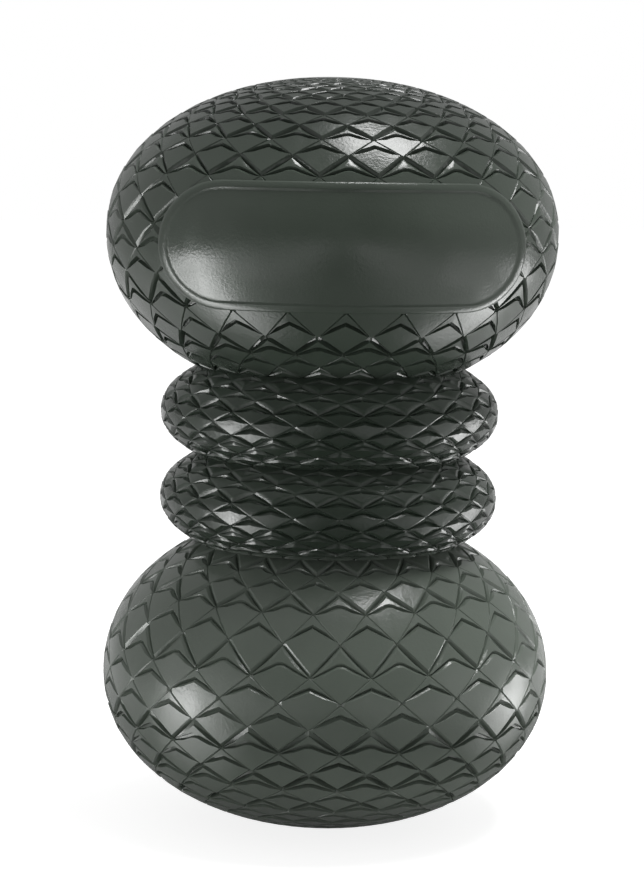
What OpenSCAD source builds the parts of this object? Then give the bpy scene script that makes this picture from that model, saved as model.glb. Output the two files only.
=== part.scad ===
// Squeaking chew toy of hollow rubber: two flattened balls joined by a ribbed neck.
// Z runs up the long axis from the small flat that the toy stands on. The bare panel faces -Y.
// The neck bends sideways at the grooves beside the balls and is squeezed between its two ribs,
// so the one moulding is drawn as four rubber pieces that meet in the grooves.
// All lengths are in millimetres.

/* [Balls] */
// Diameter of each ball at its widest place
ball_d = 72; // [70:1:76]
// Distance between the widest places of the two balls
ball_spacing = 70.8; // [70:0.2:75]
// Height of a ball from its widest place to its pole
pole_h = 24.6; // [23:0.2:27]
// Height from the widest place towards the neck at which the ball's curve would close
shoulder_h = 26.1; // [25:0.1:27.5]
// Exponent of the balls' outline, where 2 is an ellipse and more is squarer
ball_squareness = 2.08; // [2:0.02:2.3]
// Thickness of the rubber in the balls
ball_wall = 5; // [4:0.5:6]
// Diameter of the flat under the lower ball
base_flat_d = 21; // [18:0.5:24]

/* [Neck] */
// Diameter at the bottom of the grooves on both sides of each rib
groove_d = 42.8; // [41:0.2:45]
// Diameter of the ribs at their crests
rib_d = 54.2; // [51:0.2:58]
// Distance from the middle of the toy to the crest of each rib
rib_offset = 6.9; // [6.5:0.1:7.5]
// Exponent of the ribs' outline, where 2 is a parabola
rib_roundness = 2.3; // [2:0.1:3]
// Thickness of the rubber in the grooves
groove_wall = 4; // [3:0.5:5]

/* [Bare panel] */
// Width of the raised panel, measured straight across
panel_w = 55; // [40:1:60]
// Height of the raised panel
panel_h = 19; // [14:0.5:22]
// Height of the panel's middle below the widest place of the upper ball
panel_drop = 1; // [-2:0.5:4]
// How far the panel stands out of the ball
panel_raise = 0.6; // [0.3:0.1:1]

/* [Squeaker] */
// Diameter of the squeaker's flange
flange_d = 13; // [11.5:0.5:15]
// Thickness of the flange
flange_t = 1; // [0.8:0.1:1.5]
// How far the flange lies above the flat that the toy stands on
flange_recess = 0.3; // [0.1:0.1:0.6]
// Diameter of the squeaker's barrel
barrel_d = 10; // [9.5:0.5:11]
// Length of the barrel above the flange
barrel_l = 10.7; // [10.5:0.1:13]
// Thickness of the barrel's wall
barrel_wall = 1.4; // [1.2:0.1:1.6]
// Diameter of the vent through the flange
vent_d = 3; // [2:0.5:4]
// Thickness of the reed
reed_t = 0.2; // [0.1:0.05:0.25]
// Width of the reed
reed_w = 3.4; // [2.5:0.1:4]
// How far the reed turns each way, in degrees
reed_turn = 4; // [1:1:4]

/* [Hidden] */

$fn = 96;
eps = 0.01;
// Steps in a quarter of a ball's outline and in one rib's outline
ball_steps = 14;
rib_steps = 12;

ball_r = ball_d / 2;
groove_r = groove_d / 2;
rib_r = rib_d / 2;
base_flat_r = base_flat_d / 2;
neck_bore_r = groove_r - groove_wall;

// Height on a closed half of a ball at which its radius has come down to r
function height_at(r, ball_radius, half_h) =
    half_h * pow(1 - pow(r / ball_radius, ball_squareness), 1 / ball_squareness);

// The pole is cut off where the ball is as wide as its flat
lower_centre_z = height_at(base_flat_r, ball_r, pole_h);
upper_centre_z = lower_centre_z + ball_spacing;
middle_z = lower_centre_z + ball_spacing / 2;
// Distance from the middle of the toy to the groove between a rib and its ball
groove_offset = ball_spacing / 2 - height_at(groove_r, ball_r, shoulder_h);
// Parameter of the balls' curve at which the shoulder has come in to the groove or the bore
function turn_at(r, ball_radius) = acos(pow(r / ball_radius, ball_squareness / 2));

rubber = [0.17, 0.19, 0.17];
ivory_plastic = [0.86, 0.85, 0.80];
reed_film = [0.78, 0.62, 0.30];

panel_z = upper_centre_z - panel_drop;
panel_depth = 2;

barrel_z = flange_recess + flange_t;
barrel_top_z = barrel_z + barrel_l;
barrel_bore_r = barrel_d / 2 - barrel_wall;
barrel_floor_z = barrel_z + 0.8;
// The bead that keeps the barrel in the wall lies just inside the ball
bead_d = barrel_d + 1.2;
bead_h = 0.8;
bead_z = ball_wall + lower_centre_z - pole_h + 0.5;
seat_clearance = 0.3;
// The rubber is stretched over the barrel by this much on the radius
seat_grip = 0.1;
loose_fit = 0.05;
clamp_top_z = barrel_floor_z + 2.5;
reed_root = 1.5;
reed_l = 4.8;
// Room beside the reed at the ends of its travel, for its root and for its tip
reed_play = 0.045;
reed_slot = reed_t + 2 * (reed_root * sin(reed_turn) + reed_play);
block_gap = reed_t / 2 + reed_l * sin(reed_turn) + reed_play;
block_top_z = barrel_floor_z + 7;
channel_w = 2;
channel_depth = 1.2;
cap_t = 1.2;
cap_spigot_l = 1.8;
cap_spigot_wall = 1;
cap_hole_d = 1.4;
cap_hole_ring_r = 1.6;
cap_holes = 4;

// Half of a ball's outline from the widest place, with height counted from there
function ball_curve(ball_radius, half_h, end_turn) = [
    for (i = [0:ball_steps])
        let (turn = end_turn * i / ball_steps)
            [ball_radius * pow(cos(turn), 2 / ball_squareness),
             half_h * pow(sin(turn), 2 / ball_squareness)]
];

function reversed(points) = [for (i = [len(points) - 1:-1:0]) points[i]];

// A solid ball about its own centre, closed at its pole below and cut across at neck_r above
module ball_blank(ball_radius, pole, shoulder, neck_r) {
    pole_side = [for (p = reversed(ball_curve(ball_radius, pole, 90))) [p[0], -p[1]]];
    neck_side = ball_curve(ball_radius, shoulder, turn_at(neck_r, ball_radius));
    top = neck_side[len(neck_side) - 1][1];
    shoulder_points = [for (i = [1:len(neck_side) - 1]) neck_side[i]];
    rotate_extrude()
        polygon(concat(pole_side, shoulder_points, [[0, top]]));
}

// The space inside a ball, with the way out into the neck
module ball_cavity() {
    ball_blank(ball_r - ball_wall, pole_h - ball_wall, shoulder_h - ball_wall, neck_bore_r);
    cylinder(r = neck_bore_r, h = shoulder_h);
}

// One rib between its ball's groove at z = 0 and the groove in the middle of the neck
module rib_ring() {
    crest = groove_offset - rib_offset;
    // Where a step lies: up to the crest first, and then on to the middle groove
    function rib_z(u) = u < 0 ? crest * (1 + u) : crest + rib_offset * u;
    function bulge(u) = 1 - pow(abs(u), rib_roundness);
    outer = [
        for (i = [0:rib_steps])
            let (u = 2 * i / rib_steps - 1)
                [groove_r + (rib_r - groove_r) * bulge(u), rib_z(u)]
    ];
    inner = [
        for (i = [0:rib_steps])
            let (u = 2 * i / rib_steps - 1)
                [neck_bore_r + (rib_r - ball_wall - neck_bore_r) * bulge(u), rib_z(u)]
    ];
    rotate_extrude()
        polygon(concat(outer, reversed(inner)));
}

// Outline of the bare panel, with round ends
module panel_outline() {
    square([panel_w - panel_h, panel_h], center = true);
    for (side = [-1, 1])
        translate([side * (panel_w - panel_h) / 2, 0])
            circle(d = panel_h);
}

// The raised panel: a slice of a slightly larger ball, cut to the outline
module panel_pad() {
    intersection() {
        translate([0, 0, upper_centre_z])
            mirror([0, 0, 1])
                ball_blank(ball_r + panel_raise, pole_h + panel_raise, shoulder_h + panel_raise,
                           groove_r);
        translate([0, 0, panel_z])
            rotate([90, 0, 0])
                linear_extrude(height = ball_r + panel_raise + eps)
                    panel_outline();
        difference() {
            cylinder(r = ball_d, h = 2 * upper_centre_z);
            translate([0, 0, upper_centre_z])
                mirror([0, 0, 1])
                    ball_blank(ball_r - panel_depth, pole_h - panel_depth,
                               shoulder_h - panel_depth, groove_r);
        }
    }
}

module lower_ball() {
    color(rubber)
        difference() {
            translate([0, 0, lower_centre_z])
                ball_blank(ball_r, pole_h, shoulder_h, groove_r);
            translate([0, 0, lower_centre_z])
                ball_cavity();
            translate([0, 0, -pole_h])
                cylinder(r = ball_r, h = pole_h);
            translate([0, 0, -eps])
                cylinder(d = flange_d + 2 * seat_clearance, h = barrel_z + eps);
            cylinder(r = barrel_d / 2 - seat_grip, h = lower_centre_z);
        }
}

module lower_rib() {
    color(rubber)
        translate([0, 0, middle_z - groove_offset])
            rib_ring();
}

module upper_rib() {
    color(rubber)
        translate([0, 0, middle_z + groove_offset])
            mirror([0, 0, 1])
                rib_ring();
}

module upper_ball() {
    color(rubber)
        union() {
            difference() {
                translate([0, 0, upper_centre_z])
                    mirror([0, 0, 1])
                        ball_blank(ball_r, pole_h, shoulder_h, groove_r);
                translate([0, 0, upper_centre_z])
                    mirror([0, 0, 1])
                        ball_cavity();
            }
            panel_pad();
        }
}

// Flanged plastic barrel that is pushed into the wall from below and held by its bead
module squeaker_barrel() {
    color(ivory_plastic)
        difference() {
            union() {
                translate([0, 0, flange_recess])
                    cylinder(d = flange_d, h = flange_t);
                translate([0, 0, barrel_z])
                    cylinder(d = barrel_d, h = barrel_l);
                translate([0, 0, bead_z])
                    cylinder(d = bead_d, h = bead_h);
            }
            translate([0, 0, barrel_floor_z])
                cylinder(r = barrel_bore_r, h = barrel_l);
            cylinder(d = vent_d, h = barrel_top_z);
        }
}

// Space that one half of the barrel's bore offers, on the side that sign gives
module bore_half(sign, gap, bottom_z, top_z) {
    intersection() {
        translate([0, 0, bottom_z])
            cylinder(r = barrel_bore_r - loose_fit, h = top_z - bottom_z);
        translate([-barrel_d / 2, sign > 0 ? gap : -gap - barrel_d, bottom_z])
            cube([barrel_d, barrel_d, top_z - bottom_z]);
    }
}

// Half-round block that the reed closes on, with the channel that leads air under the reed
module reed_block() {
    color(ivory_plastic)
        difference() {
            union() {
                bore_half(1, reed_slot / 2, barrel_floor_z, clamp_top_z);
                bore_half(1, block_gap, clamp_top_z, block_top_z);
            }
            translate([-channel_w / 2, 0, barrel_floor_z - eps])
                cube([channel_w, block_gap + channel_depth, block_top_z]);
        }
}

// Half-round wedge that holds the reed's root against the block
module reed_clamp() {
    color(ivory_plastic)
        bore_half(-1, reed_slot / 2, barrel_floor_z, clamp_top_z);
}

// Thin blade that flutters about the top of the clamp
module squeaker_reed() {
    color(reed_film)
        translate([-reed_w / 2, -reed_t / 2, clamp_top_z - reed_root])
            cube([reed_w, reed_t, reed_root + reed_l]);
}

// Cap with holes that keeps the reed covered inside the ball
module squeaker_cap() {
    color(ivory_plastic)
        difference() {
            union() {
                translate([0, 0, barrel_top_z])
                    cylinder(d = barrel_d, h = cap_t);
                translate([0, 0, barrel_top_z - cap_spigot_l])
                    cylinder(r = barrel_bore_r - loose_fit, h = cap_spigot_l + eps);
            }
            translate([0, 0, barrel_top_z - cap_spigot_l - eps])
                cylinder(r = barrel_bore_r - cap_spigot_wall, h = cap_spigot_l + eps);
            for (i = [0:cap_holes - 1])
                rotate([0, 0, 360 * i / cap_holes])
                    translate([cap_hole_ring_r, 0, barrel_top_z - eps])
                        cylinder(d = cap_hole_d, h = cap_t + 2 * eps);
        }
}

lower_ball();
lower_rib();
upper_rib();
upper_ball();
squeaker_barrel();
reed_block();
reed_clamp();
squeaker_reed();
squeaker_cap();
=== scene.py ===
"""Squeaking chew toy of hollow rubber: two flattened balls joined by a ribbed neck.

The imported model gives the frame. The rubber's scale pattern is laid out flat, one scale at a time,
and is then wrapped round the outline that the solids have. Lengths are in millimetres until a
mesh is finished, and the finished mesh is in metres. Z runs up the long axis, and the bare panel
faces -Y.
"""

import bisect
import math

import bmesh
import bpy
from mathutils import Matrix, Vector


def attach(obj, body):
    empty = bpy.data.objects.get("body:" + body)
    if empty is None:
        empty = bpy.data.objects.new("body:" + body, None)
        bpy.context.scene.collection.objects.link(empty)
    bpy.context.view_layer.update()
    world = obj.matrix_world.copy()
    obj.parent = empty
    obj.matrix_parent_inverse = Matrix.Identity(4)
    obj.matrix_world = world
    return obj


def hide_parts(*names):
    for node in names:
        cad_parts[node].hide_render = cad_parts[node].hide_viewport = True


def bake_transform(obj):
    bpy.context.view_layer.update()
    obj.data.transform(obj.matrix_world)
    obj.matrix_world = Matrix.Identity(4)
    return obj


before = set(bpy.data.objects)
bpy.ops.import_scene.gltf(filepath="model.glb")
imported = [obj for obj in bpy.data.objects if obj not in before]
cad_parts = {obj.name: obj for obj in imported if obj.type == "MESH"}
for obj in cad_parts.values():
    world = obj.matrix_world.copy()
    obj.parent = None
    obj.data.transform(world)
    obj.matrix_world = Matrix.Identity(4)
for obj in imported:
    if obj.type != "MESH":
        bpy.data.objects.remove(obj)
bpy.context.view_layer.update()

MM = 0.001

# Outline of the rubber, with the same values as the solids
BALL_R = 36.0
BALL_SPACING = 70.8
POLE_H = 24.6
SHOULDER_H = 26.1
BALL_SQUARENESS = 2.08
BALL_WALL = 5.0
BASE_FLAT_R = 10.5
GROOVE_R = 21.4
RIB_R = 27.1
RIB_OFFSET = 6.9
RIB_ROUNDNESS = 2.3
NECK_BORE_R = 17.4

# Seat of the squeaker in the lower ball's wall
RECESS_R = 6.8
RECESS_H = 1.3
BARREL_HOLE_R = 4.9

# Bare panel on the front of the upper ball
PANEL_W = 55.0
PANEL_H = 19.0
PANEL_DROP = 1.0

# Scale pattern: how many scales go round, the height of a row to the width of its scales, the
# radius of the smooth cap at the upper pole, and the number of rows on a rib
SCALES_ROUND = 24
ROW_TO_WIDTH = 0.42
POLE_CAP_R = 6.0
RIB_ROWS = 10
# Distances of the rows of scale corners from a ball's widest place, on the way to the neck
SHOULDER_ROWS = [2.0, 6.0, 11.0, 16.1, 20.0, 23.6]
# The first distance on the way to a pole, and how near to the flat the last row but one may come
FIRST_POLE_ROW = 2.0
FLAT_ROOM = 0.6

# Steps of the curves that are made of straight pieces
RIB_STEPS = 120
SHOULDER_STEPS = 160
POLE_STEPS = 240
HOLLOW_STEPS = 8
HOLLOW_POLE_STEPS = 10
CAP_STEPS = 6
# Distance to each side over which the direction of the outline is taken
NORMAL_REACH = 0.25
# Two distances that differ by less than this count as one
NEAR = 0.01
# Distances within which a straight cut takes up points, and within which points are joined
CUT_SNAP = 1e-4
JOIN_DISTANCE = 0.0005
# Radius of the last ring round a pole before it is drawn together
LAST_RING_R = 0.001
# Edges that turn by more than this are sharp
SHARP_ANGLE = math.radians(20)
# Steps in from the edge of the base, round the mouth of the squeaker's seat, and at the upper cap
FLAT_INSET = 0.4
RECESS_CHAMFER = 0.3
CAP_INSET = 0.25
CAP_RISE = 0.03

# Camera of the photograph, in pixels of its 644 x 882 frame
FRAME_W = 644
FRAME_H = 882
PIXEL_MM = 0.16134
CAMERA_DISTANCE_PX = 2466
CAMERA_HEIGHT_PX = 305
AIM_PX = (328.72, 453.03)
CAMERA_TURN = math.radians(3.9)
CAMERA_ROLL = 0.0176
SENSOR_MM = 36
CLIP_START = 0.01


def height_at(r, radius, half_height):
    """Height on a closed half of a ball at which its radius has come down to r."""
    return half_height * (1 - (r / radius) ** BALL_SQUARENESS) ** (1 / BALL_SQUARENESS)


LOWER_CENTRE_Z = height_at(BASE_FLAT_R, BALL_R, POLE_H)
UPPER_CENTRE_Z = LOWER_CENTRE_Z + BALL_SPACING
MIDDLE_Z = LOWER_CENTRE_Z + BALL_SPACING / 2
GROOVE_OFFSET = BALL_SPACING / 2 - height_at(GROOVE_R, BALL_R, SHOULDER_H)


def make_camera():
    """The photograph's camera: aimed at the middle of the toy, turned, rolled and shifted a little."""
    data = bpy.data.cameras.new("photo_camera")
    camera = bpy.data.objects.new("photo_camera", data)
    bpy.context.scene.collection.objects.link(camera)
    bpy.context.scene.camera = camera
    distance = CAMERA_DISTANCE_PX * PIXEL_MM * MM
    height = CAMERA_HEIGHT_PX * PIXEL_MM * MM
    aim = Vector((0, 0, MIDDLE_Z * MM))
    side = Vector((-math.sin(CAMERA_TURN), -math.cos(CAMERA_TURN), 0))
    place = aim + side * distance + Vector((0, 0, height))
    look = (aim - place).to_track_quat("-Z", "Y").to_matrix().to_4x4()
    camera.matrix_world = Matrix.Translation(place) @ look @ Matrix.Rotation(CAMERA_ROLL, 4, "Z")
    focal_px = math.hypot(CAMERA_DISTANCE_PX, CAMERA_HEIGHT_PX)
    data.sensor_width = SENSOR_MM
    data.lens = focal_px / FRAME_H * data.sensor_width
    data.shift_x = (FRAME_W / 2 - AIM_PX[0]) / FRAME_H
    data.shift_y = (AIM_PX[1] - FRAME_H / 2) / FRAME_H
    data.clip_start = CLIP_START


# Outline and its arc length

def ball_half(radius, half_height, end_r, steps):
    """Points (r, height) of half a ball's outline, from its widest place in to radius end_r."""
    end_turn = math.acos((end_r / radius) ** (BALL_SQUARENESS / 2))
    points = []
    for step in range(steps + 1):
        turn = end_turn * step / steps
        points.append((radius * math.cos(turn) ** (2 / BALL_SQUARENESS),
                       half_height * math.sin(turn) ** (2 / BALL_SQUARENESS)))
    return points


def rib_half(radius, groove_radius, steps):
    """Points (r, z above the middle) of a rib, from the middle groove out to its ball's groove."""
    points = []
    for step in range(steps + 1):
        u = 2 * step / steps - 1
        if u < 0:
            z = RIB_OFFSET * (1 + u)
        else:
            z = RIB_OFFSET + (GROOVE_OFFSET - RIB_OFFSET) * u
        bulge = 1 - abs(u) ** RIB_ROUNDNESS
        points.append((groove_radius + (radius - groove_radius) * bulge, z))
    return points


def half_outline():
    """Points (r, z above the middle) of the rubber, from the middle groove to the upper pole."""
    centre = BALL_SPACING / 2
    points = rib_half(RIB_R, GROOVE_R, RIB_STEPS)
    shoulder = ball_half(BALL_R, SHOULDER_H, GROOVE_R, SHOULDER_STEPS)
    for r, height in reversed(shoulder[:-1]):
        points.append((r, centre - height))
    pole_side = ball_half(BALL_R, POLE_H, 0.0, POLE_STEPS)
    for r, height in pole_side[1:]:
        points.append((r, centre + height))
    return points


class Outline:
    """The outside of the rubber as a line, read by the distance along it upwards from the base."""

    def __init__(self):
        upper = half_outline()
        lower = [(r, -z) for r, z in reversed(upper[1:]) if -z + MIDDLE_Z > 0]
        self.points = [(BASE_FLAT_R, 0.0)]
        self.points += [(r, z + MIDDLE_Z) for r, z in lower]
        self.points += [(r, z + MIDDLE_Z) for r, z in upper]
        self.lengths = [0.0]
        for (r0, z0), (r1, z1) in zip(self.points, self.points[1:]):
            self.lengths.append(self.lengths[-1] + math.hypot(r1 - r0, z1 - z0))

    def at(self, s):
        """Radius and height at distance s."""
        index = bisect.bisect_right(self.lengths, s) - 1
        index = max(0, min(index, len(self.points) - 2))
        span = self.lengths[index + 1] - self.lengths[index]
        t = (s - self.lengths[index]) / span
        (r0, z0), (r1, z1) = self.points[index], self.points[index + 1]
        return max(r0 + (r1 - r0) * t, 0.0), z0 + (z1 - z0) * t

    def normal(self, s):
        """Outward direction (along r, along z) at distance s, evened out over the grooves."""
        r0, z0 = self.at(max(s - NORMAL_REACH, 0))
        r1, z1 = self.at(min(s + NORMAL_REACH, self.lengths[-1]))
        length = math.hypot(r1 - r0, z1 - z0)
        return (z1 - z0) / length, -(r1 - r0) / length

    def distance(self, z):
        """Distance along the outline at which it has come up to height z."""
        heights = [point[1] for point in self.points]
        index = max(1, min(bisect.bisect_left(heights, z), len(heights) - 1))
        t = (z - heights[index - 1]) / (heights[index] - heights[index - 1])
        return self.lengths[index - 1] + (self.lengths[index] - self.lengths[index - 1]) * t

    def scale_width(self, s):
        """Width of one scale at distance s."""
        return 2 * math.pi * self.at(s)[0] / SCALES_ROUND


outline = Outline()
S_LOWER_BALL = outline.distance(LOWER_CENTRE_Z)
S_LOWER_GROOVE = outline.distance(MIDDLE_Z - GROOVE_OFFSET)
S_MIDDLE = outline.distance(MIDDLE_Z)
S_UPPER_GROOVE = outline.distance(MIDDLE_Z + GROOVE_OFFSET)
S_UPPER_BALL = outline.distance(UPPER_CENTRE_Z)


# Rows of scale corners. A row is (distance along the outline, 0 or 1): its corners stand on the
# front line where that is 0, and half a scale beside it where it is 1.

def pole_rows(reaches):
    """Distances of the rows from a ball's widest place to its pole, as far as reaches allows."""
    rows = [FIRST_POLE_ROW]
    while True:
        width = outline.scale_width(S_UPPER_BALL + rows[-1])
        step = ROW_TO_WIDTH * width
        width = outline.scale_width(S_UPPER_BALL + rows[-1] + step / 2)
        following = rows[-1] + ROW_TO_WIDTH * width
        if not reaches(following):
            return rows
        rows.append(following)


def lower_ball_rows():
    """Rows of the lower ball, upwards from the flat that it stands on."""
    end = S_LOWER_BALL
    below = pole_rows(lambda distance: distance < end - FLAT_ROOM)
    below[-1] = end
    rows = [(S_LOWER_BALL - distance, (index + 1) % 2) for index, distance in enumerate(below)]
    rows.reverse()
    for index, distance in enumerate(SHOULDER_ROWS):
        rows.append((S_LOWER_BALL + distance, index % 2))
    rows.append((S_LOWER_GROOVE, len(SHOULDER_ROWS) % 2))
    return rows


def upper_ball_rows():
    """Rows of the upper ball, from its groove to the edge of the smooth cap at its pole."""
    rows = [(S_UPPER_GROOVE, len(SHOULDER_ROWS) % 2)]
    for index, distance in reversed(list(enumerate(SHOULDER_ROWS))):
        rows.append((S_UPPER_BALL - distance, index % 2))
    above = pole_rows(lambda distance: outline.at(S_UPPER_BALL + distance)[0] > POLE_CAP_R)
    for index, distance in enumerate(above):
        rows.append((S_UPPER_BALL + distance, (index + 1) % 2))
    return rows


def neck_rows():
    """Rows of both ribs, from the lower ball's groove to the upper ball's."""
    rows = []
    for index in range(2 * RIB_ROWS + 1):
        if index < RIB_ROWS:
            s = S_LOWER_GROOVE + (S_MIDDLE - S_LOWER_GROOVE) * index / RIB_ROWS
        else:
            s = S_MIDDLE + (S_UPPER_GROOVE - S_MIDDLE) * (index - RIB_ROWS) / RIB_ROWS
        rows.append((s, (index + 1) % 2))
    return rows


# One scale, laid flat: u runs across it and v up it, both from -1 to 1

SCALE_COLUMNS = [-1, -0.88, -0.5, -0.12, 0, 0.12, 0.5, 0.88, 1]
LINE_GAP = 0.006
# Widths of the walls of the cuts in millimetres, and their depths where the rubber is widest
CUT_STEEP = 0.42
CUT_GENTLE = 0.90
CUT_DEPTH = 0.76
TAPER = 0.72
CORNER_DEPTH = 0.30
ARC_STEEP = 0.28
ARC_GENTLE = 0.55
ARC_DEPTH = 0.56
SHORT_STEEP = 0.30
SHORT_GENTLE = 0.55
SHORT_DEPTH = 0.62
CREASE_HALF = 0.22
CREASE_DEPTH = 0.11
LIP_WIDTH = 0.32
LIP_DROP = 0.15
FACET_DROP = 0.08
# Rise of the curved line of a bold scale, how near to the ends of a line the cuts get shallower,
# and the top, the fall and the reach of the short cut of a light scale, as shares of the scale
ARC_RISE = 0.2
TAPER_REACH = 0.2
SHORT_PEAK = 0.60
SHORT_FALL = 0.50
SHORT_REACH = 0.6
# A cut takes up no more than this share of its half of a scale
WIDEST_CUT = 0.32
# Near a scale's side corners a wall takes up no more than this share of the room between two lines
GENTLE_ROOM = 0.6
STEEP_ROOM = 0.25
# Cuts on the neck are shallower, with wider steep walls
NECK_DEPTH = 0.8
NECK_STEEP_WALL = 1.3
# Below a ball's widest place the cuts turn into broad slots. Each entry has the millimetres below
# it, and then, as shares: depth, width of the gentle wall, and place and depth of that wall's break
UNDERSIDE = [(0.0, 1.0, 1.0, 0.36, 0.45), (2.0, 0.95, 1.0, 0.6, 0.65), (5.0, 1.5, 0.9, 0.88, 0.88),
             (11.0, 1.9, 0.9, 0.88, 0.88)]
# How far the middle of a scale lies inside the round outline, so that the scale is nearly flat
FLATTENING = 0.03
# Share of the cuts' depth that is left at a pole, and how fast it grows with the radius
POLE_STRENGTH = 0.4
STRENGTH_GAIN = 0.8
# Distance within which points of one flat scale are joined
SCALE_JOIN = LINE_GAP / 20


def arc_line(u):
    """The curved line that joins a scale's two side corners."""
    return ARC_RISE * (1 + math.cos(math.pi * u))


def flattened(u):
    """Height of a scale's middle line, which lies a little inside the round outline."""
    return -FLATTENING * (1 - u * u)


def lip(u):
    """Height of the rim of a scale, which is a chord between two of its corners."""
    return -2 * FLATTENING * abs(u) * (1 - abs(u))


def at_corner(u):
    """True at a scale's upper, lower and side corners."""
    return abs(u) < NEAR or abs(u) > 1 - NEAR


def taper(u):
    """Share of its depth that a cut keeps: less near the two ends of its edge."""
    return TAPER if min(abs(u), 1 - abs(u)) < TAPER_REACH else 1


def deep_edge(u):
    """Height along an edge that is cut to full depth between its two shallower corners."""
    return -CORNER_DEPTH if at_corner(u) else -CUT_DEPTH * taper(u)


def creased_edge(u):
    """Height along an edge that is only creased."""
    return -CORNER_DEPTH if at_corner(u) else lip(u) - CREASE_DEPTH


def lip_drop(lower_edge):
    """How far the rounded lip over a deep cut falls before the cut's steep wall."""
    return LIP_DROP if lower_edge is deep_edge else 0.0


class RowFit:
    """How wide the cuts of one row are, as shares of the row's height."""

    def __init__(self, before, here, after):
        self.below = here - before
        self.above = after - here
        on_neck = S_LOWER_GROOVE <= here <= S_UPPER_GROOVE
        self.steep_wall = NECK_STEEP_WALL if on_neck else 1
        shape = UNDERSIDE[0][1:] if on_neck else underside(here)
        self.gentle_wall, self.break_width, self.break_depth = shape[1:]

    def lower(self, size):
        """Share of the steep wall at the row's lower edge."""
        return min(size * self.steep_wall / self.below, WIDEST_CUT)

    def steep(self, size):
        """Share of a steep wall in the row's upper half."""
        return min(size * self.steep_wall / self.above, WIDEST_CUT)

    def gentle(self, size):
        """Share of a gentle wall in the row's upper half."""
        return min(size * self.gentle_wall / self.above, WIDEST_CUT)


def bold_scale(u, lower_edge, fit):
    """Lines (v, height) up a scale whose two upper edges are cut to full depth."""
    edge = 1 - abs(u)
    arc = arc_line(u)
    under_arc = arc + edge
    over_arc = edge - arc
    lower_wall = fit.lower(CUT_STEEP if lower_edge is deep_edge else CREASE_HALF)
    low = -edge + min(lower_wall, under_arc * STEEP_ROOM)
    lip_top = low + min(fit.lower(LIP_WIDTH), under_arc * STEEP_ROOM / 2)
    arc_depth = ARC_DEPTH * (TAPER if abs(u) > 1 - TAPER_REACH else 1)
    arc_gentle = min(fit.gentle(ARC_GENTLE), under_arc * GENTLE_ROOM)
    arc_steep = min(fit.steep(ARC_STEEP), over_arc * STEEP_ROOM)
    cut_gentle = min(fit.gentle(CUT_GENTLE), over_arc * GENTLE_ROOM)
    return [
        (-edge, lower_edge(u)),
        (low, lip(u) - lip_drop(lower_edge)),
        (lip_top, lip(u)),
        ((lip_top + arc) / 2, flattened(u)),
        (arc - arc_gentle, lip(u)),
        (arc - arc_gentle * fit.break_width, lip(u) - arc_depth * fit.break_depth),
        (arc, -arc_depth),
        (arc + arc_steep, -FACET_DROP),
        (edge - cut_gentle, -FACET_DROP),
        (edge - cut_gentle * fit.break_width, deep_edge(u) * fit.break_depth),
        (edge, deep_edge(u)),
    ]


def light_scale(u, lower_edge, fit):
    """Lines (v, height) up a scale with a short cut of its own below two creased edges."""
    edge = 1 - abs(u)
    peak = SHORT_PEAK - SHORT_FALL * abs(u)
    depth = SHORT_DEPTH if abs(u) < SHORT_REACH else 0.0
    low = -edge + fit.lower(CUT_STEEP if lower_edge is deep_edge else CREASE_HALF)
    lip_top = low + fit.lower(LIP_WIDTH)
    short_gentle = fit.gentle(SHORT_GENTLE)
    return [
        (-edge, lower_edge(u)),
        (low, lip(u) - lip_drop(lower_edge)),
        (lip_top, lip(u)),
        ((lip_top + peak) / 2, flattened(u)),
        (peak - short_gentle, lip(u)),
        (peak - short_gentle * fit.break_width, lip(u) - depth * fit.break_depth),
        (peak, lip(u) - depth),
        (peak + fit.steep(SHORT_STEEP), lip(u)),
        (edge - fit.steep(CREASE_HALF), lip(u)),
        (edge, creased_edge(u)),
    ]


def ordered(lines):
    """The same lines, pushed apart where they would cross near a scale's side corners."""
    places = [line[0] for line in lines]
    if places[0] == places[-1]:
        return [(0.0, -CORNER_DEPTH)] * len(lines)
    gap = min(LINE_GAP, (places[-1] - places[0]) / (len(places) - 1))
    for index in range(1, len(places)):
        places[index] = max(places[index], places[index - 1] + gap)
    places[-1] = lines[-1][0]
    for index in range(len(places) - 2, 0, -1):
        places[index] = min(places[index], places[index + 1] - gap)
    return [(place, line[1]) for place, line in zip(places, lines)]


def make_scale(profile, lower_edge, fit):
    """A flat bmesh of one scale: a grid whose columns follow the lines of its profile."""
    columns = len(SCALE_COLUMNS)
    table = [ordered(profile(u, lower_edge, fit)) for u in SCALE_COLUMNS]
    levels = len(table[0])
    bm = bmesh.new()
    bmesh.ops.create_grid(bm, x_segments=columns - 1, y_segments=levels - 1, size=1)
    for vert in bm.verts:
        column = round((vert.co.x + 1) / 2 * (columns - 1))
        level = round((vert.co.y + 1) / 2 * (levels - 1))
        v, height = table[column][level]
        vert.co = Vector((SCALE_COLUMNS[column], v, height))
    bmesh.ops.remove_doubles(bm, verts=bm.verts, dist=SCALE_JOIN)
    return bm


def is_bold(here, after):
    """True for the bold kind, which changes columns where the rubber is widest."""
    below_crest = here[0] < crest_near(here[0]) - NEAR
    return after[1] == (1 if below_crest else 0)


def crest_near(s):
    """Distance along the outline of the widest place that row s belongs to."""
    if s <= S_LOWER_GROOVE:
        return S_LOWER_BALL
    if s < S_MIDDLE - NEAR:
        return (S_LOWER_GROOVE + S_MIDDLE) / 2
    if s <= S_UPPER_GROOVE:
        return (S_MIDDLE + S_UPPER_GROOVE) / 2
    return S_UPPER_BALL


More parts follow.
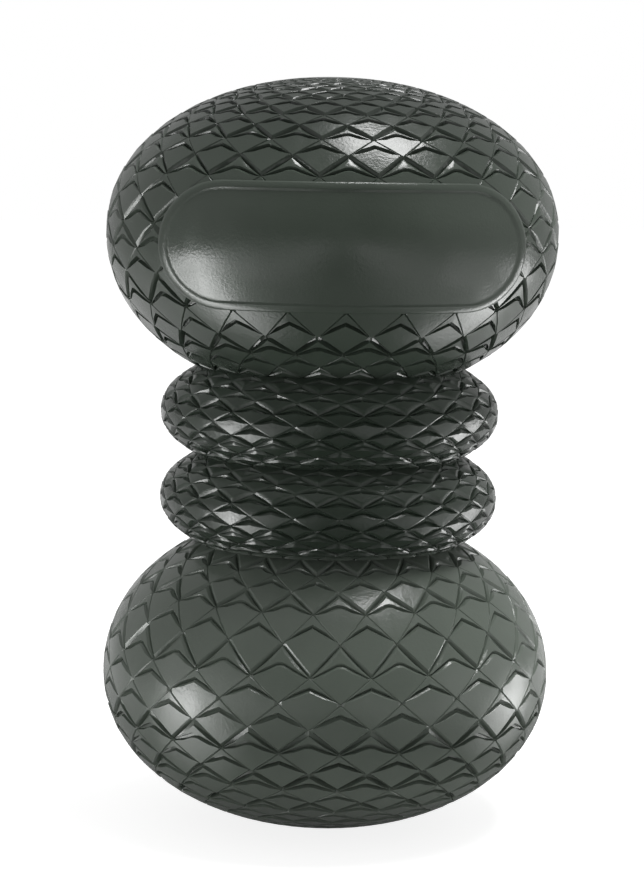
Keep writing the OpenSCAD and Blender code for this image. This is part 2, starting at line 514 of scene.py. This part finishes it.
def lay_strip(rows, cut_start, cut_end):
    """One scale of every row but the first and last, flat: x in scales, y and z in millimetres."""
    bm = bmesh.new()
    for before, here, after in zip(rows, rows[1:], rows[2:]):
        fit = RowFit(before[0], here[0], after[0])
        profile = bold_scale if is_bold(here, after) else light_scale
        lower_edge = deep_edge if is_bold(before, here) else creased_edge
        tile = make_scale(profile, lower_edge, fit)
        for vert in tile.verts:
            u, v, height = vert.co
            rise = fit.above if v > 0 else fit.below
            vert.co = Vector(((u + after[1]) / 2, here[0] + v * rise, height))
        part = bpy.data.meshes.new("scale_part")
        tile.to_mesh(part)
        tile.free()
        bm.from_mesh(part)
        bpy.data.meshes.remove(part)
    if cut_start is not None:
        cut_across(bm, cut_start, clear_inner=True)
    if cut_end is not None:
        cut_across(bm, cut_end, clear_outer=True)
    return bm


def everything(bm):
    """All that a bmesh holds."""
    return bm.verts[:] + bm.edges[:] + bm.faces[:]


def cut_across(bm, s, clear_inner=False, clear_outer=False):
    """A line across the strip at distance s, which can clear what lies before or beyond it."""
    bmesh.ops.bisect_plane(bm, geom=everything(bm), dist=CUT_SNAP, plane_co=(0, s, 0),
                           plane_no=(0, 1, 0), clear_inner=clear_inner, clear_outer=clear_outer)


def underside(s):
    """The shape of the cuts on a ball, by how far distance s is below its widest place."""
    below = max(crest_near(s) - s, 0)
    for (start, *first), (end, *second) in zip(UNDERSIDE, UNDERSIDE[1:]):
        if below <= end:
            part = (below - start) / (end - start)
            return [one + (other - one) * part for one, other in zip(first, second)]
    return UNDERSIDE[-1][1:]


def cut_strength(s):
    """How deep the pattern is at distance s: less near the poles and on the neck, more under a ball."""
    strength = min(1, POLE_STRENGTH + STRENGTH_GAIN * outline.at(s)[0] / BALL_R)
    on_neck = S_LOWER_GROOVE <= s <= S_UPPER_GROOVE
    return strength * (NECK_DEPTH if on_neck else underside(s)[0])


def wrap_point(x, s, height):
    """Place on the toy of a point of the flat sheet."""
    r, z = outline.at(s)
    out_r, out_z = outline.normal(s)
    depth = height * cut_strength(s)
    r += out_r * depth
    z += out_z * depth
    turn = x * 2 * math.pi / SCALES_ROUND
    return Vector((r * math.sin(turn), -r * math.cos(turn), z))


def wrap_strip(bm):
    """Bends the flat strip onto the toy, repeats it all the way round and joins the copies."""
    for vert in bm.verts:
        vert.co = wrap_point(*vert.co)
    strip = everything(bm)
    for turn in range(1, SCALES_ROUND):
        copy = bmesh.ops.duplicate(bm, geom=strip)
        verts = [item for item in copy["geom"] if isinstance(item, bmesh.types.BMVert)]
        rotation = Matrix.Rotation(turn * 2 * math.pi / SCALES_ROUND, 3, "Z")
        bmesh.ops.rotate(bm, verts=verts, cent=(0, 0, 0), matrix=rotation)
    bmesh.ops.remove_doubles(bm, verts=bm.verts, dist=JOIN_DISTANCE)


def open_loops(bm):
    """The open rims of the sheet as lists of edges, the lowest first."""
    left = {edge for edge in bm.edges if len(edge.link_faces) == 1}
    loops = []
    while left:
        loop = [left.pop()]
        waiting = list(loop)
        while waiting:
            edge = waiting.pop()
            for vert in edge.verts:
                for other in vert.link_edges:
                    if other in left:
                        left.remove(other)
                        loop.append(other)
                        waiting.append(other)
        loops.append(loop)
    loops.sort(key=lambda loop: sum(edge.verts[0].co.z for edge in loop) / len(loop))
    return loops


def push_rim(bm, rim, r, z=None):
    """Extrudes a rim to radius r and height z and returns the new rim. Without z it keeps its heights."""
    result = bmesh.ops.extrude_edge_only(bm, edges=rim)
    verts = [item for item in result["geom"] if isinstance(item, bmesh.types.BMVert)]
    for vert in verts:
        across = math.hypot(vert.co.x, vert.co.y)
        vert.co.x *= r / across
        vert.co.y *= r / across
        if z is not None:
            vert.co.z = z
    moved = set(verts)
    edges = [item for item in result["geom"] if isinstance(item, bmesh.types.BMEdge)]
    return [edge for edge in edges if edge.verts[0] in moved and edge.verts[1] in moved]


def close_pole(bm, rim, points):
    """Extrudes a rim through points (r, z), the last of which is the pole, and closes it there."""
    for r, z in points[:-1]:
        rim = push_rim(bm, rim, r, z)
    rim = push_rim(bm, rim, LAST_RING_R, points[-1][1])
    verts = list({vert for edge in rim for vert in edge.verts})
    bmesh.ops.pointmerge(bm, verts=verts, merge_co=(0, 0, points[-1][1]))


def finish_mesh(bm, name):
    """A finished piece in metres, with smooth faces and sharp cuts."""
    bmesh.ops.recalc_face_normals(bm, faces=bm.faces)
    bmesh.ops.scale(bm, vec=(MM, MM, MM), verts=bm.verts)
    for face in bm.faces:
        face.smooth = True
    for edge in bm.edges:
        edge.smooth = edge.calc_face_angle(0) < SHARP_ANGLE
    mesh = bpy.data.meshes.new(name)
    bm.to_mesh(mesh)
    bm.free()
    piece = bpy.data.objects.new(name, mesh)
    bpy.context.scene.collection.objects.link(piece)
    return piece


def cavity_half(end_r, steps):
    """Points (r, height) of half a ball's hollow, from its widest place in to radius end_r."""
    return ball_half(BALL_R - BALL_WALL, SHOULDER_H - BALL_WALL, end_r, steps)


def cavity_pole_half(end_r, steps):
    """The same towards the pole."""
    return ball_half(BALL_R - BALL_WALL, POLE_H - BALL_WALL, end_r, steps)


def with_ends(rows):
    """The rows with one more beyond each end, of which the half scales at the ends are cut."""
    first = (2 * rows[0][0] - rows[1][0], rows[1][1])
    last = (2 * rows[-1][0] - rows[-2][0], rows[-2][1])
    return [first] + rows + [last]


def make_lower_ball():
    """The lower ball: scales from its flat to the groove, the squeaker's seat, and the hollow."""
    rows = lower_ball_rows()
    bm = lay_strip(with_ends(rows), rows[0][0], rows[-1][0])
    wrap_strip(bm)
    rim, top = open_loops(bm)
    path = [(BASE_FLAT_R - FLAT_INSET, 0.0), (RECESS_R + RECESS_CHAMFER, 0.0),
            (RECESS_R, RECESS_CHAMFER), (RECESS_R, RECESS_H), (BARREL_HOLE_R, RECESS_H)]
    for r, height in reversed(cavity_pole_half(BARREL_HOLE_R, HOLLOW_STEPS)):
        path.append((r, LOWER_CENTRE_Z - height))
    for r, height in cavity_half(NECK_BORE_R, HOLLOW_STEPS)[1:]:
        path.append((r, LOWER_CENTRE_Z + height))
    path.append((NECK_BORE_R, MIDDLE_Z - GROOVE_OFFSET))
    for r, z in path:
        rim = push_rim(bm, rim, r, z)
    bmesh.ops.bridge_loops(bm, edges=rim + top)
    return finish_mesh(bm, "lower_ball_skin")


def make_upper_ball():
    """The upper ball: scales from the groove to a small smooth cap at the pole, and the hollow."""
    rows = upper_ball_rows()
    bm = lay_strip(with_ends(rows), rows[0][0], rows[-1][0])
    wrap_strip(bm)
    rim, top = open_loops(bm)
    cap_start = rows[-1][0]
    cap_end = outline.lengths[-1]
    cap = []
    for step in range(CAP_STEPS + 1):
        cap.append(outline.at(cap_start + (cap_end - cap_start) * step / CAP_STEPS))
    close_pole(bm, top, [(cap[0][0] - CAP_INSET, cap[0][1] + CAP_RISE)] + cap[1:])
    rim = push_rim(bm, rim, NECK_BORE_R, MIDDLE_Z + GROOVE_OFFSET)
    hollow = []
    for r, height in reversed(cavity_half(NECK_BORE_R, HOLLOW_STEPS)):
        hollow.append((r, UPPER_CENTRE_Z - height))
    for r, height in cavity_pole_half(0.0, HOLLOW_POLE_STEPS)[1:]:
        hollow.append((r, UPPER_CENTRE_Z + height))
    close_pole(bm, rim, hollow)
    return finish_mesh(bm, "upper_ball_skin")


def rib_bore(z):
    """Radius of the hollow of the neck at height z."""
    from_middle = abs(z - MIDDLE_Z)
    if from_middle < RIB_OFFSET:
        u = from_middle / RIB_OFFSET - 1
    else:
        u = min((from_middle - RIB_OFFSET) / (GROOVE_OFFSET - RIB_OFFSET), 1)
    bulge = 1 - abs(u) ** RIB_ROUNDNESS
    return NECK_BORE_R + (RIB_R - BALL_WALL - NECK_BORE_R) * bulge


def make_rib(name, first, last):
    """The skin of the neck from row first to row last, with a wall to the hollow."""
    rows = neck_rows()
    # The rows used are first to last with one more on each side, and with_ends puts one in front
    beyond = last + 2
    used = with_ends(rows)[first:beyond + 1]
    cut_start = rows[0][0] if first == 0 else None
    cut_end = rows[-1][0] if last == len(rows) - 1 else None
    bm = lay_strip(used, cut_start, cut_end)
    # A line in the middle groove lets the skin follow it
    if first < RIB_ROWS < last:
        cut_across(bm, S_MIDDLE)
    wrap_strip(bm)
    low, high = open_loops(bm)
    low_z = max(vert.co.z for edge in low for vert in edge.verts)
    high_z = min(vert.co.z for edge in high for vert in edge.verts)
    low = push_rim(bm, low, rib_bore(low_z))
    high = push_rim(bm, high, rib_bore(high_z))
    for step in range(1, HOLLOW_STEPS):
        z = low_z + (high_z - low_z) * step / HOLLOW_STEPS
        low = push_rim(bm, low, rib_bore(z), z)
    bmesh.ops.bridge_loops(bm, edges=low + high)
    return finish_mesh(bm, name)


# The panel from the middle of its hidden back, round its rim, to the middle of its face:
# distance inside its outline, and height over the ball
PANEL_SECTION = [(9.5, -0.9), (0.0, -0.9), (0.0, 0.25), (0.1, 0.44), (0.3, 0.56), (0.55, 0.6),
                 (0.95, 0.6), (1.15, 0.55), (1.3, 0.44), (1.45, 0.36), (1.7, 0.34), (3.4, 0.34),
                 (5.4, 0.34), (7.4, 0.34), (9.5, 0.34)]
PANEL_SIDE_STEPS = 32
PANEL_END_STEPS = 28


def panel_point(column, inset):
    """Flat place on the panel, from the column round its outline and the distance inside it."""
    spine = (PANEL_W - PANEL_H) / 2
    round_r = PANEL_H / 2 - inset
    half, step = divmod(column, PANEL_SIDE_STEPS + PANEL_END_STEPS)
    if step < PANEL_SIDE_STEPS:
        x = spine * (2 * step / PANEL_SIDE_STEPS - 1)
        y = round_r
    else:
        turn = math.pi * (step - PANEL_SIDE_STEPS) / PANEL_END_STEPS
        x = spine + round_r * math.sin(turn)
        y = round_r * math.cos(turn)
    return (-x, -y) if half == 1 else (x, y)


def make_panel():
    """The bare raised panel: rings from its back to its face, with a low rim, bent onto the ball."""
    bm = bmesh.new()
    columns = 2 * (PANEL_SIDE_STEPS + PANEL_END_STEPS)
    levels = len(PANEL_SECTION) - 1
    bmesh.ops.create_grid(bm, x_segments=columns, y_segments=levels, size=1)
    panel_z = UPPER_CENTRE_Z - PANEL_DROP
    for vert in bm.verts:
        column = round((vert.co.x + 1) / 2 * columns)
        inset, height = PANEL_SECTION[round((vert.co.y + 1) / 2 * levels)]
        x, y = panel_point(column % columns, inset)
        s = outline.distance(panel_z + y)
        r, z = outline.at(s)
        out_r, out_z = outline.normal(s)
        turn = math.asin(x / r)
        r += out_r * height
        vert.co = Vector((r * math.sin(turn), -r * math.cos(turn), z + out_z * height))
    bmesh.ops.remove_doubles(bm, verts=bm.verts, dist=JOIN_DISTANCE)
    return finish_mesh(bm, "bare_panel")


# Materials

def grey(level):
    """A grey of that level."""
    return (level, level, level, 1)


WHITE = grey(1)
# Painted light and shade on the rubber: lighter where the toy gets more light, darker where it is shaded
BOTTOM_PAINTED_LIGHT = (0.225, 0.262, 0.222, 1)
LOWER_PAINTED_LIGHT = (0.155, 0.184, 0.154, 1)
NECK_PAINTED_SHADE = (0.042, 0.058, 0.043, 1)
NECK_TOP_PAINTED_LIGHT = (0.076, 0.098, 0.077, 1)
UPPER_PAINTED_LIGHT = (0.090, 0.112, 0.090, 1)
TOP_PAINTED_SHADE = (0.036, 0.046, 0.037, 1)
# Painted light and shade by height in millimetres: palest at the base, darkest at the top and low on each
# rib
RUBBER_PAINTED_LIGHT = [(5.0, BOTTOM_PAINTED_LIGHT), (18.0, LOWER_PAINTED_LIGHT), (44.9, LOWER_PAINTED_LIGHT), (46.2, NECK_PAINTED_SHADE),
                 (53.0, NECK_PAINTED_SHADE), (56.5, NECK_TOP_PAINTED_LIGHT), (58.9, NECK_TOP_PAINTED_LIGHT),
                 (60.2, NECK_PAINTED_SHADE), (67.0, NECK_PAINTED_SHADE), (70.5, NECK_TOP_PAINTED_LIGHT),
                 (76.0, NECK_TOP_PAINTED_LIGHT), (86.0, UPPER_PAINTED_LIGHT), (98.0, UPPER_PAINTED_LIGHT),
                 (114.0, TOP_PAINTED_SHADE)]
RUBBER_MOTTLE = grey(0.88)
PLASTIC_DARK = (0.82, 0.80, 0.74, 1)
PLASTIC_PALE = (0.88, 0.87, 0.82, 1)
FILM_DARK = (0.70, 0.54, 0.25, 1)
FILM_PALE = (0.80, 0.66, 0.34, 1)
# The values between which most of a noise pattern lies
PATTERN_LOW = 0.3
PATTERN_HIGH = 0.7
# How fine the noise patterns are, in repeats to the metre
RUBBER_CLOUDS = 60
RUBBER_WEAR = 240
RUBBER_GRAIN = 2200
PLASTIC_FLOW = 300
PLASTIC_GRAIN = 2500
FILM_STREAKS = 3000
FILM_STRETCH = (1, 1, 0.08)
NOISE_DETAIL = 3
GRAIN_DETAIL = 2
NOISE_ROUGHNESS = 0.55
# Roughness at the glossiest and at the dullest places
RUBBER_ROUGHNESS = (0.15, 0.27)
PLASTIC_ROUGHNESS = (0.28, 0.38)
FILM_ROUGHNESS = (0.2, 0.3)
# Strength of a grain, and its height in metres
RUBBER_RELIEF = (0.3, 0.0001)
PLASTIC_RELIEF = (0.15, 0.00005)
RUBBER_IOR = 1.5


def new_material(name):
    """A material with its node tree, its shader node and the object's own coordinates."""
    material = bpy.data.materials.new(name)
    material.use_nodes = True
    tree = material.node_tree
    shader = tree.nodes["Principled BSDF"]
    place = tree.nodes.new("ShaderNodeTexCoord").outputs["Object"]
    return material, tree, shader, place


def add_noise(tree, place, scale, detail=NOISE_DETAIL):
    """The value of a noise pattern over coordinates in metres."""
    noise = tree.nodes.new("ShaderNodeTexNoise")
    noise.inputs["Scale"].default_value = scale
    noise.inputs["Detail"].default_value = detail
    noise.inputs["Roughness"].default_value = NOISE_ROUGHNESS
    tree.links.new(place, noise.inputs["Vector"])
    return noise.outputs["Fac"]


def add_ramp(tree, source, stops):
    """The colour of a ramp over a value, with stops (value, colour)."""
    ramp = tree.nodes.new("ShaderNodeValToRGB")
    elements = ramp.color_ramp.elements
    while len(elements) > len(stops):
        elements.remove(elements[-1])
    while len(elements) < len(stops):
        elements.new(1.0)
    for element, (position, colour) in zip(elements, stops):
        element.position = position
        element.color = colour
    tree.links.new(source, ramp.inputs["Fac"])
    return ramp.outputs["Color"]


def add_shades(tree, source, dark, pale):
    """A colour that follows a pattern from dark to pale."""
    return add_ramp(tree, source, [(PATTERN_LOW, dark), (PATTERN_HIGH, pale)])


def add_gloss(tree, shader, source, roughness):
    """Roughness that follows a pattern, from the first value to the second."""
    spread = tree.nodes.new("ShaderNodeMapRange")
    spread.inputs["From Min"].default_value = PATTERN_LOW
    spread.inputs["From Max"].default_value = PATTERN_HIGH
    spread.inputs["To Min"].default_value = roughness[0]
    spread.inputs["To Max"].default_value = roughness[1]
    tree.links.new(source, spread.inputs["Value"])
    tree.links.new(spread.outputs["Result"], shader.inputs["Roughness"])


def add_bump(tree, shader, source, strength, distance):
    """A fine relief from a pattern."""
    bump = tree.nodes.new("ShaderNodeBump")
    bump.inputs["Strength"].default_value = strength
    bump.inputs["Distance"].default_value = distance
    tree.links.new(source, bump.inputs["Height"])
    tree.links.new(bump.outputs["Normal"], shader.inputs["Normal"])


def smoky_rubber():
    """Glossy dark rubber with painted light and shade by height, uneven in tone and in gloss, with a fine
    moulded grain.
    """
    material, tree, shader, place = new_material("smoky_rubber")
    top_z = UPPER_CENTRE_Z + POLE_H
    parts = tree.nodes.new("ShaderNodeSeparateXYZ")
    tree.links.new(place, parts.inputs["Vector"])
    height = tree.nodes.new("ShaderNodeMapRange")
    height.inputs["From Max"].default_value = top_z * MM
    tree.links.new(parts.outputs["Z"], height.inputs["Value"])
    stops = [(z / top_z, colour) for z, colour in RUBBER_PAINTED_LIGHT]
    # The base colour carries painted light and shade by height
    painted_light_and_shade = add_ramp(tree, height.outputs["Result"], stops)
    clouds = add_noise(tree, place, RUBBER_CLOUDS)
    both = tree.nodes.new("ShaderNodeMixRGB")
    both.blend_type = "MULTIPLY"
    both.inputs["Fac"].default_value = 1
    tree.links.new(painted_light_and_shade, both.inputs["Color1"])
    tree.links.new(add_shades(tree, clouds, RUBBER_MOTTLE, WHITE), both.inputs["Color2"])
    tree.links.new(both.outputs["Color"], shader.inputs["Base Color"])
    add_gloss(tree, shader, add_noise(tree, place, RUBBER_WEAR), RUBBER_ROUGHNESS)
    shader.inputs["IOR"].default_value = RUBBER_IOR
    grain = add_noise(tree, place, RUBBER_GRAIN, GRAIN_DETAIL)
    add_bump(tree, shader, grain, *RUBBER_RELIEF)
    return material


def ivory_plastic():
    """Moulded plastic of the squeaker, a little waxy, with faint flow marks."""
    material, tree, shader, place = new_material("ivory_plastic")
    flow = add_noise(tree, place, PLASTIC_FLOW)
    tree.links.new(add_shades(tree, flow, PLASTIC_DARK, PLASTIC_PALE), shader.inputs["Base Color"])
    add_gloss(tree, shader, flow, PLASTIC_ROUGHNESS)
    grain = add_noise(tree, place, PLASTIC_GRAIN, GRAIN_DETAIL)
    add_bump(tree, shader, grain, *PLASTIC_RELIEF)
    return material


def reed_film():
    """Thin amber film of the reed, brushed along its length."""
    material, tree, shader, place = new_material("reed_film")
    stretch = tree.nodes.new("ShaderNodeMapping")
    stretch.inputs["Scale"].default_value = FILM_STRETCH
    tree.links.new(place, stretch.inputs["Vector"])
    streaks = add_noise(tree, stretch.outputs["Vector"], FILM_STREAKS)
    tree.links.new(add_shades(tree, streaks, FILM_DARK, FILM_PALE), shader.inputs["Base Color"])
    add_gloss(tree, shader, streaks, FILM_ROUGHNESS)
    return material


# Stage and light

# How much of the paper's white is its own, and the look of the part that is lit
FLOOR_OWN_WHITE = 0.85
FLOOR_SHADE = 0.5
FLOOR_ROUGHNESS = 0.9
FLOOR_SPECULAR = 0.1
FLOOR_HALF_SIZE = 3
# Painted light on the paper that only the toy's reflections see: metres to the side, and how bright
FLOOR_PAINTED_MIRROR_LIGHT = [(0.02, 0.11), (0.11, 0.85), (0.16, 0.85), (0.45, 0.45)]
# Painted pools of light on the paper on both sides of the toy, seen only in its reflections: middle
# and half size in metres, turn in degrees, and how bright
LEFT_POOL = ((-0.140, -0.052, 0), (0.120, 0.038, 1), 12, 13.0)
RIGHT_POOL = ((0.160, 0.018, 0), (0.130, 0.040, 1), 20, 11.0)
FAR_LEFT_POOL = ((-0.330, -0.100, 0), (0.200, 0.110, 1), 15, 13.0)
FAR_RIGHT_POOL = ((0.360, 0.110, 0), (0.200, 0.110, 1), 20, 9.0)
# The surround's light at the horizon and overhead, and how far up a direction points at each
HORIZON_LIGHT = 0.45
ZENITH_LIGHT = 0.375
HORIZON_RISE = 0.1
ZENITH_RISE = 0.9
# Share of that light straight in front, and how far a direction points to the front at its two ends
FRONT_LIGHT = 0.2
FRONT_MIDDLE = -1.0
FRONT_EDGE = -0.3
# Softboxes: name, azimuth and elevation in degrees, distance, width and height in metres, and watts
SOFTBOXES = [("left_glow", -60, -8, 0.17, 0.16, 0.07, 0.025),
             ("right_glow", 80, -8, 0.17, 0.16, 0.07, 0.02),
             ("top_box", 90, 76, 0.8, 0.34, 0.34, 5.0)]


def add_pool(tree, place, level, middle, half_size, turn, strength):
    """The level with a soft oval of light added to it."""
    spot = tree.nodes.new("ShaderNodeMapping")
    spot.vector_type = "TEXTURE"
    spot.inputs["Location"].default_value = middle
    spot.inputs["Rotation"].default_value = (0, 0, math.radians(turn))
    spot.inputs["Scale"].default_value = half_size
    tree.links.new(place, spot.inputs["Vector"])
    oval = tree.nodes.new("ShaderNodeTexGradient")
    oval.gradient_type = "SPHERICAL"
    tree.links.new(spot.outputs["Vector"], oval.inputs["Vector"])
    both = tree.nodes.new("ShaderNodeMath")
    both.operation = "MULTIPLY_ADD"
    both.inputs[1].default_value = strength
    tree.links.new(oval.outputs["Fac"], both.inputs[0])
    tree.links.new(level, both.inputs[2])
    return both.outputs["Value"]


def add_painted_mirror_light(tree, place):
    """Painted light on the paper that only reflections see: bright at its two sides and dim in front of
    it.
    """
    parts = tree.nodes.new("ShaderNodeSeparateXYZ")
    tree.links.new(place, parts.inputs["Vector"])
    aside = tree.nodes.new("ShaderNodeMath")
    aside.operation = "ABSOLUTE"
    tree.links.new(parts.outputs["X"], aside.inputs[0])
    stops = [(distance, grey(level)) for distance, level in FLOOR_PAINTED_MIRROR_LIGHT]
    total = add_ramp(tree, aside.outputs["Value"], stops)
    for pool in (LEFT_POOL, RIGHT_POOL, FAR_LEFT_POOL, FAR_RIGHT_POOL):
        total = add_pool(tree, place, total, *pool)
    # Painted light: emission that the toy's reflections see in place of lit paper
    painted_mirror_emission = tree.nodes.new("ShaderNodeEmission")
    tree.links.new(total, painted_mirror_emission.inputs["Strength"])
    return painted_mirror_emission.outputs["Emission"]


def floor_paper():
    """Pale paper: most of what the camera sees is its own white, the rest keeps the shadow, and
    reflections see only painted light.
    """
    material, tree, shader, place = new_material("floor_paper")
    shader.inputs["Base Color"].default_value = grey(FLOOR_SHADE)
    shader.inputs["Roughness"].default_value = FLOOR_ROUGHNESS
    shader.inputs["Specular IOR Level"].default_value = FLOOR_SPECULAR
    white = tree.nodes.new("ShaderNodeEmission")
    white.inputs["Color"].default_value = WHITE
    white.inputs["Strength"].default_value = FLOOR_OWN_WHITE
    path = tree.nodes.new("ShaderNodeLightPath")
    seen = tree.nodes.new("ShaderNodeMixShader")
    tree.links.new(path.outputs["Is Camera Ray"], seen.inputs["Fac"])
    tree.links.new(white.outputs["Emission"], seen.inputs[2])
    lit = tree.nodes.new("ShaderNodeAddShader")
    tree.links.new(shader.outputs["BSDF"], lit.inputs[0])
    tree.links.new(seen.outputs["Shader"], lit.inputs[1])
    # Glossy rays see painted light on the paper instead of the lit paper
    both = tree.nodes.new("ShaderNodeMixShader")
    tree.links.new(path.outputs["Is Glossy Ray"], both.inputs["Fac"])
    tree.links.new(lit.outputs["Shader"], both.inputs[1])
    tree.links.new(add_painted_mirror_light(tree, place), both.inputs[2])
    tree.links.new(both.outputs["Shader"], tree.nodes["Material Output"].inputs["Surface"])
    return material


def make_floor():
    """A pale floor, which keeps the toy's soft shadow."""
    bm = bmesh.new()
    bmesh.ops.create_grid(bm, x_segments=1, y_segments=1, size=FLOOR_HALF_SIZE)
    mesh = bpy.data.meshes.new("floor")
    bm.to_mesh(mesh)
    bm.free()
    mesh.materials.append(floor_paper())
    floor = bpy.data.objects.new("floor", mesh)
    bpy.context.scene.collection.objects.link(floor)


def add_fade(tree, source, start, end, low, high):
    """A value that goes softly from low to high while its source goes from start to end."""
    fade = tree.nodes.new("ShaderNodeMapRange")
    fade.interpolation_type = "SMOOTHSTEP"
    fade.inputs["From Min"].default_value = start
    fade.inputs["From Max"].default_value = end
    fade.inputs["To Min"].default_value = low
    fade.inputs["To Max"].default_value = high
    tree.links.new(source, fade.inputs["Value"])
    return fade.outputs["Result"]


def make_world():
    """A soft surround: full white to the camera, and a plain level for the light it gives."""
    world = bpy.data.worlds.new("studio")
    bpy.context.scene.world = world
    world.use_nodes = True
    tree = world.node_tree
    light = tree.nodes["Background"]
    light.inputs["Color"].default_value = WHITE
    direction = tree.nodes.new("ShaderNodeTexCoord")
    parts = tree.nodes.new("ShaderNodeSeparateXYZ")
    tree.links.new(direction.outputs["Generated"], parts.inputs["Vector"])
    level = add_fade(tree, parts.outputs["Z"], HORIZON_RISE, ZENITH_RISE, HORIZON_LIGHT, ZENITH_LIGHT)
    # The side that the toy's bare panel faces is dimmer, as the camera's side of a studio is
    front = add_fade(tree, parts.outputs["Y"], FRONT_MIDDLE, FRONT_EDGE, FRONT_LIGHT, 1)
    both = tree.nodes.new("ShaderNodeMath")
    both.operation = "MULTIPLY"
    tree.links.new(level, both.inputs[0])
    tree.links.new(front, both.inputs[1])
    tree.links.new(both.outputs["Value"], light.inputs["Strength"])
    white = tree.nodes.new("ShaderNodeBackground")
    white.inputs["Color"].default_value = WHITE
    path = tree.nodes.new("ShaderNodeLightPath")
    mix = tree.nodes.new("ShaderNodeMixShader")
    tree.links.new(path.outputs["Is Camera Ray"], mix.inputs["Fac"])
    tree.links.new(light.outputs["Background"], mix.inputs[1])
    tree.links.new(white.outputs["Background"], mix.inputs[2])
    tree.links.new(mix.outputs["Shader"], tree.nodes["World Output"].inputs["Surface"])


def add_softbox(name, azimuth, elevation, distance, width, height, power):
    """A softbox that faces the toy, seen from the photograph's camera at azimuth and elevation."""
    data = bpy.data.lights.new(name, "AREA")
    data.shape = "RECTANGLE"
    data.size = width
    data.size_y = height
    data.energy = power
    lamp = bpy.data.objects.new(name, data)
    lamp.visible_camera = False
    bpy.context.scene.collection.objects.link(lamp)
    turn = math.radians(azimuth) - CAMERA_TURN
    rise = math.radians(elevation)
    middle = Vector((0, 0, MIDDLE_Z * MM))
    way = Vector((math.sin(turn) * math.cos(rise), -math.cos(turn) * math.cos(rise),
                  math.sin(rise)))
    place = middle + way * distance
    look = (middle - place).to_track_quat("-Z", "Y").to_matrix().to_4x4()
    lamp.matrix_world = Matrix.Translation(place) @ look


def blend_neck(piece):
    """Bakes the piece's place into its mesh; it is not blended between the bodies."""
    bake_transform(piece)


def paint(name, material):
    """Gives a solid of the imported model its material."""
    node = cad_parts[name]
    node.data.materials.clear()
    node.data.materials.append(material)


make_camera()
bpy.context.scene.view_settings.view_transform = "Standard"

# Row of the ribs at which one piece of skin ends and the next begins
SEAM_ROW = RIB_ROWS // 2

rubber = smoky_rubber()
lower_ball_skin = make_lower_ball()
lower_rib_skin = make_rib("lower_rib_skin", 0, SEAM_ROW - 1)
waist_skin = make_rib("waist_skin", SEAM_ROW, 3 * SEAM_ROW)
upper_rib_skin = make_rib("upper_rib_skin", 3 * SEAM_ROW + 1, 2 * RIB_ROWS)
upper_ball_skin = make_upper_ball()
bare_panel = make_panel()

for skin in (lower_ball_skin, lower_rib_skin, waist_skin, upper_rib_skin, upper_ball_skin, bare_panel):
    skin.data.materials.append(rubber)

blend_neck(lower_ball_skin)
blend_neck(lower_rib_skin)
blend_neck(waist_skin)
blend_neck(upper_rib_skin)
blend_neck(upper_ball_skin)
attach(bare_panel, "upper_end")
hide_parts("lower_ball")
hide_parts("lower_rib")
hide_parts("upper_rib")
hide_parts("upper_ball")

plastic = ivory_plastic()
for name in ("squeaker_barrel", "reed_block", "reed_clamp", "squeaker_cap"):
    paint(name, plastic)
paint("squeaker_reed", reed_film())

make_floor()
make_world()
for softbox in SOFTBOXES:
    add_softbox(*softbox)
